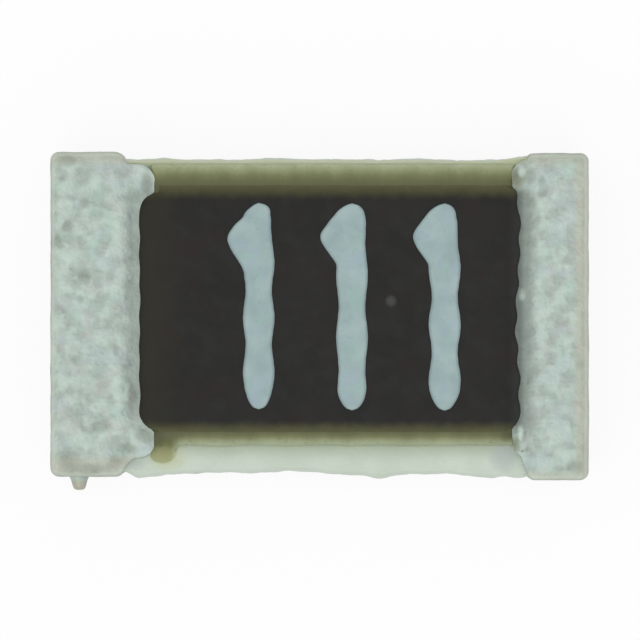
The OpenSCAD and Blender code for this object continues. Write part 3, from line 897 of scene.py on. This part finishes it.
def tinNodule(bm):  # grain of tin grown out of the left cap's front
    s = nodule
    bm.normal_update()
    grown = []
    for face in bm.faces:
        c = face.calc_center_median()
        if face.normal.y < -s["facing"] and math.hypot(c.x - s["x"], c.z - s["z"]) < s["root"]:
            grown.append(face)
    for v in {v for face in grown for v in face.verts}:
        if not set(grown).issuperset(v.link_faces):  # the root's outline is drawn on to a circle
            away = Vector((v.co.x - s["x"], 0, v.co.z - s["z"]))
            v.co += away.normalized() * s["root"] - away
    for out, taper in s["steps"]:
        raised = bmesh.ops.extrude_face_region(bm, geom=grown)["geom"]
        bmesh.ops.delete(bm, geom=grown, context="FACES")
        grown = [g for g in raised if isinstance(g, bmesh.types.BMFace)]
        for v in vertsOf(raised):
            v.co.x = blend(s["x"] + s["drift"], v.co.x, taper)
            v.co.z = blend(s["z"], v.co.z, taper)
            v.co.y -= out


def growInward(bm):  # gives the skin its thickness on the inside
    bmesh.ops.recalc_face_normals(bm, faces=bm.faces)
    bm.normal_update()
    inward = bm.verts.layers.float_vector.new("inward")
    for v in bm.verts:
        v[inward] = v.co - v.normal * tin["skin"]
    grown = bmesh.ops.extrude_face_region(bm, geom=bm.faces[:], use_keep_orig=True)
    for v in vertsOf(grown["geom"]):
        v.co = v[inward]
    bm.verts.layers.float_vector.remove(inward)


def tinCaps():
    finish = tinFinish()
    tinCap("left_tin_cap", -1, "left_tin_plating", finish)
    tinCap("right_tin_cap", 1, "right_tin_plating", finish)


# hidden layers keep their solids and get their own finishes
hiddenLayers = {
    "printed silver": {
        "shades": ((0.62, 0.61, 0.57), (0.50, 0.49, 0.45)),
        "metal": 0.9,
        "rough": 0.45,
        "nodes": ("left_top_electrode", "right_top_electrode",
                  "left_bottom_electrode", "right_bottom_electrode"),
    },
    "resistor film": {
        "shades": ((0.025, 0.025, 0.028), (0.045, 0.042, 0.040)),
        "metal": 0.0,
        "rough": 0.6,
        "nodes": ("resistive_film",),
    },
    "end silver": {
        "shades": ((0.45, 0.44, 0.41), (0.34, 0.33, 0.31)),
        "metal": 0.7,
        "rough": 0.6,
        "nodes": ("left_end_coat", "right_end_coat"),
    },
    "nickel": {
        "shades": ((0.42, 0.40, 0.36), (0.50, 0.48, 0.43)),
        "metal": 1.0,
        "rough": 0.35,
        "nodes": ("left_nickel_barrier", "right_nickel_barrier"),
    },
}


def hiddenFinish(name):
    s = hiddenLayers[name]
    f = Finish(name)
    grain = f.noise(45, 3.0, 0.6)
    colour = f.mix(grain.ramp(0.35, 0.65), *s["shades"])
    rough = s["rough"] + grain * 0.1
    return f.set(Base_Color=colour, Metallic=s["metal"], Roughness=rough, Normal=f.bump(grain, 0.002))


def dressHidden():
    for name, layer in hiddenLayers.items():
        finish = hiddenFinish(name)
        for node in layer["nodes"]:
            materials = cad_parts[node].data.materials
            materials.clear()
            materials.append(finish)


aluminaBlock()
glassLayer()
overcoatLayer()
valueDigits()
tinCaps()
dressHidden()
print("pieces dressed")


# studio: white floor, soft light from above, camera straight over the chip
studio = {
    "floorSize": 0.12,
    "floorDrop": 0.003,
    "white": (1.0, 1.0, 1.0),
    "floorAlbedo": (0.94, 0.94, 0.94),
    "shadowShare": 0.13,
    "skyLight": 0.78,
    "keyLight": 0.75,
    "keyAngle": 70,
    "keyTilt": (14, -10),
    "lens": 600,
    "sensor": 36,
    "clip": (0.001, 1),
    "frameWide": 2.4275,
    "aim": (0.001, -0.0133),
    "plane": 0.534,
}


def seenDirectly(tree):  # camera, glossy and transmission rays
    path = addNode(tree, "ShaderNodeLightPath", out=0)
    glossy = path.node("ShaderNodeLightPath", out=3)
    through = path.node("ShaderNodeLightPath", out=6)
    return path.sum("MAXIMUM", path, path.sum("MAXIMUM", glossy, through))


def studioFloor():
    bm = bmesh.new()
    bmesh.ops.create_grid(bm, x_segments=1, y_segments=1, size=studio["floorSize"])
    bmesh.ops.translate(bm, vec=(0, 0, -studio["floorDrop"] * mm), verts=bm.verts)
    mesh = bpy.data.meshes.new("floor")
    bm.to_mesh(mesh)
    bm.free()
    material = bpy.data.materials.new("studio floor")
    material.use_nodes = True
    tree = material.node_tree
    tree.nodes.clear()
    white = addNode(tree, "ShaderNodeEmission", {}, {"Color": (*studio["white"], 1.0), "Strength": 1.0})
    matt = addNode(tree, "ShaderNodeBsdfDiffuse", {}, {"Color": (*studio["floorAlbedo"], 1.0)})
    clear = addNode(tree, "ShaderNodeBsdfTransparent")
    seen = seenDirectly(tree) * (1 - studio["shadowShare"])
    top = white.node("ShaderNodeMixShader", {}, {0: seen, 1: matt, 2: white})
    back = white.node("ShaderNodeNewGeometry", out=6)
    both = white.node("ShaderNodeMixShader", {}, {0: back, 1: top, 2: clear})  # open from below
    both.node("ShaderNodeOutputMaterial", {}, {0: both})
    mesh.materials.append(material)
    floor = bpy.data.objects.new("floor", mesh)
    bpy.context.scene.collection.objects.link(floor)


def studioLight():
    world = bpy.data.worlds.new("studio")
    bpy.context.scene.world = world
    world.use_nodes = True
    tree = world.node_tree
    tree.nodes.clear()
    seen = seenDirectly(tree)
    strength = seen * (1 - studio["skyLight"]) + studio["skyLight"]
    sky = seen.node("ShaderNodeBackground", {}, {0: (*studio["white"], 1.0), 1: strength})
    sky.node("ShaderNodeOutputWorld", {}, {0: sky})
    lamp = bpy.data.lights.new("key", "SUN")
    lamp.energy = studio["keyLight"]
    lamp.angle = math.radians(studio["keyAngle"])
    key = bpy.data.objects.new("key", lamp)
    key.rotation_euler = [math.radians(a) for a in studio["keyTilt"]] + [0]
    bpy.context.scene.collection.objects.link(key)


def studioCamera():
    lens = bpy.data.cameras.new("camera")
    lens.lens = studio["lens"]
    lens.sensor_width = studio["sensor"]
    lens.clip_start, lens.clip_end = studio["clip"]
    away = studio["lens"] / studio["sensor"] * studio["frameWide"]
    camera = bpy.data.objects.new("camera", lens)
    camera.location = Vector((*studio["aim"], studio["plane"] + away)) * mm
    bpy.context.scene.collection.objects.link(camera)
    bpy.context.scene.camera = camera


studioFloor()
studioLight()
studioCamera()
bpy.context.scene.view_settings.view_transform = "Standard"
print("studio ready")
